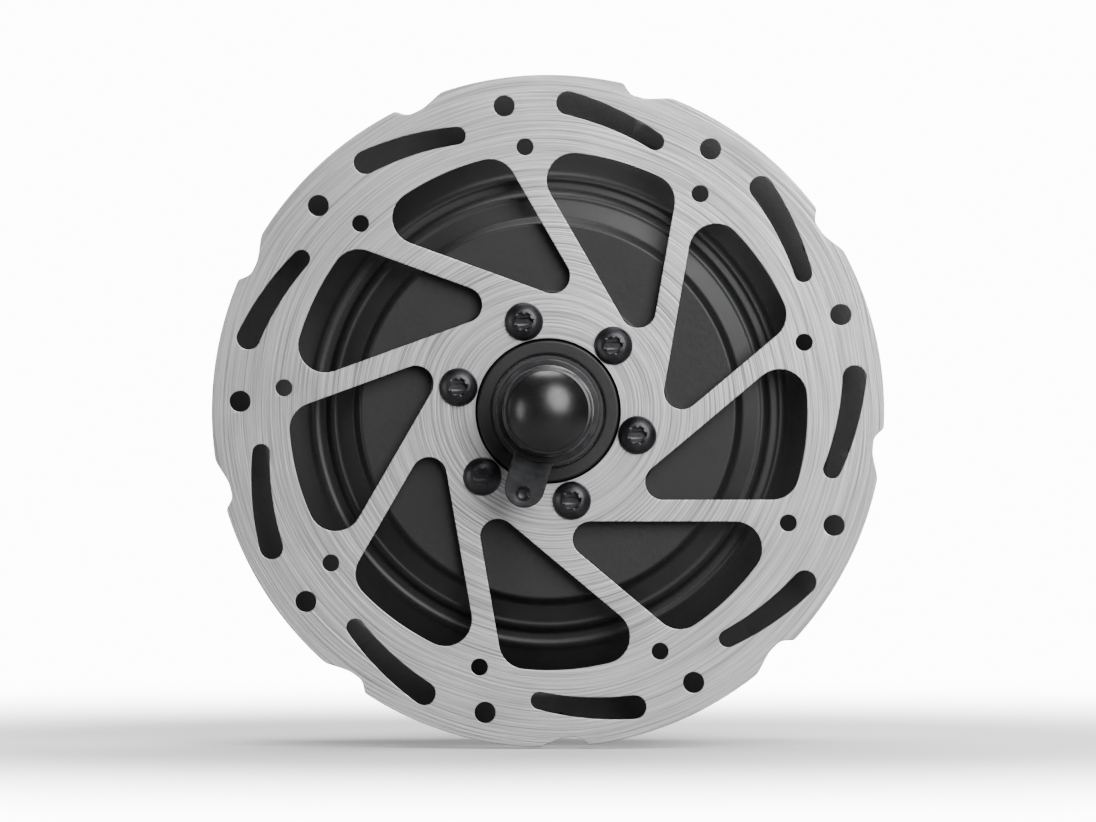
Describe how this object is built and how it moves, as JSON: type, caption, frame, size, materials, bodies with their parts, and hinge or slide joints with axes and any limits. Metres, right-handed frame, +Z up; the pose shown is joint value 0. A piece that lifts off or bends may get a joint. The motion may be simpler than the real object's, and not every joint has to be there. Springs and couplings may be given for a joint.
{
  "type": "rear geared hub motor",
  "caption": "Rear geared hub motor for a bicycle wheel, with a planetary drive inside, a disc brake rotor on one side and a stepped freewheel on the other.",
  "frame": {"origin": "on the axle's axis, midway between the two locknut faces, which is the centre of the overall box", "axes": "+Y along the axle towards the drive side, +X towards the rear of the bicycle, +Z up"},
  "size_m": [0.1599, 0.189, 0.1599],
  "materials": {
    "ground_steel": "ground in fine arcs round the disc",
    "black_paint": "satin black paint on cast aluminium",
    "dark_steel": "black oxide",
    "zinc_steel": "bright zinc plate",
    "cog_steel": "phosphated and lightly oiled",
    "bearing_steel": "ground and polished",
    "lamination": "varnished steel sheets",
    "copper": "enamelled copper wire",
    "magnet": "nickel plate",
    "nylon": "moulded nylon",
    "cast_aluminium": "as cast, machined on the fits",
    "circuit_board": "green solder mask",
    "rubber": "matt black",
    "gloss_cap": "glossy black moulding"
  },
  "bodies": {
    "axle": {"axle": "zinc_steel", "axle_spacer": "zinc_steel", "cable_grommet": "rubber", "stator_core": "lamination", "stator_spider": "cast_aluminium", "stator_winding_left": "copper", "stator_winding_right": "copper", "hall_sensor_board": "circuit_board", "left_locknut": "zinc_steel", "right_locknut": "zinc_steel", "left_tab_washer": "dark_steel", "right_tab_washer": "dark_steel", "left_washer": "zinc_steel", "right_washer": "zinc_steel", "left_axle_nut": "zinc_steel", "right_axle_nut": "zinc_steel", "left_nut_cap": "gloss_cap", "left_bearing_inner_ring": "bearing_steel", "right_bearing_inner_ring": "bearing_steel", "rotor_bearing_inner_ring": "bearing_steel"},
    "planet_carrier": {"planet_carrier": "dark_steel", "carrier_front_plate": "dark_steel", "planet_pin_1": "bearing_steel", "planet_pin_2": "bearing_steel", "planet_pin_3": "bearing_steel", "one_way_clutch": "bearing_steel"},
    "planet_1": {"planet_gear_1": "nylon"},
    "planet_2": {"planet_gear_2": "nylon"},
    "planet_3": {"planet_gear_3": "nylon"},
    "motor_rotor": {"rotor_cup": "cast_aluminium", "magnet_ring": "magnet", "sun_gear": "zinc_steel", "rotor_bearing_outer_ring": "bearing_steel"},
    "hub": {"hub_shell": "black_paint", "right_cover": "black_paint", "ring_gear": "zinc_steel", "left_bearing_outer_ring": "bearing_steel", "right_bearing_outer_ring": "bearing_steel", "left_dust_seal": "rubber", "right_dust_seal": "rubber", "disc_rotor": "ground_steel", "rotor_bolt_1": "dark_steel", "rotor_bolt_2": "dark_steel", "rotor_bolt_3": "dark_steel", "rotor_bolt_4": "dark_steel", "rotor_bolt_5": "dark_steel", "rotor_bolt_6": "dark_steel", "freewheel_inner_body": "dark_steel", "freewheel_lock_cone": "zinc_steel"},
    "freewheel": {"freewheel_shell": "dark_steel", "cog_1_28t": "cog_steel", "cog_2_24t": "cog_steel", "cog_3_22t": "cog_steel", "cog_4_20t": "cog_steel", "cog_5_18t": "cog_steel", "cog_6_16t": "cog_steel", "cog_7_14t": "cog_steel"},
    "pawl_1": {"pawl_1": "bearing_steel"},
    "pawl_2": {"pawl_2": "bearing_steel"}
  },
  "joints": [
    {"name": "clutch_overrun", "type": "hinge", "parent": "axle", "child": "planet_carrier", "pos_m": [0, 0, 0], "axis": [0, -1, 0], "continuous": true},
    {"name": "hub_spin", "type": "hinge", "parent": "planet_carrier", "child": "hub", "pos_m": [0, 0, 0], "axis": [0, -1, 0], "continuous": true},
    {"name": "motor_spin", "type": "hinge", "parent": "planet_carrier", "child": "motor_rotor", "pos_m": [0, 0, 0], "axis": [0, -1, 0], "continuous": true},
    {"name": "planet_1_spin", "type": "hinge", "parent": "planet_carrier", "child": "planet_1", "pos_m": [0, 0, 0.036], "axis": [0, -1, 0], "continuous": true},
    {"name": "planet_2_spin", "type": "hinge", "parent": "planet_carrier", "child": "planet_2", "pos_m": [-0.03118, 0, -0.018], "axis": [0, -1, 0], "continuous": true},
    {"name": "planet_3_spin", "type": "hinge", "parent": "planet_carrier", "child": "planet_3", "pos_m": [0.03118, 0, -0.018], "axis": [0, -1, 0], "continuous": true},
    {"name": "freewheel_overrun", "type": "hinge", "parent": "hub", "child": "freewheel", "pos_m": [0, 0, 0], "axis": [0, -1, 0], "continuous": true},
    {"name": "pawl_1_lift", "type": "hinge", "parent": "hub", "child": "pawl_1", "pos_m": [0, 0, 0.0198], "axis": [0, -1, 0], "range_deg": [-16, 0], "stiffness_Nm_per_rad": 0.01, "springref_deg": 11.46},
    {"name": "pawl_2_lift", "type": "hinge", "parent": "hub", "child": "pawl_2", "pos_m": [0, 0, -0.0198], "axis": [0, -1, 0], "range_deg": [-16, 0], "stiffness_Nm_per_rad": 0.01, "springref_deg": 11.46}
  ],
  "couplings": [
    {"joint": "motor_spin", "follows": "hub_spin", "ratio": -4.3333},
    {"joint": "planet_1_spin", "follows": "hub_spin", "ratio": 2.6},
    {"joint": "planet_2_spin", "follows": "hub_spin", "ratio": 2.6},
    {"joint": "planet_3_spin", "follows": "hub_spin", "ratio": 2.6}
  ]
}
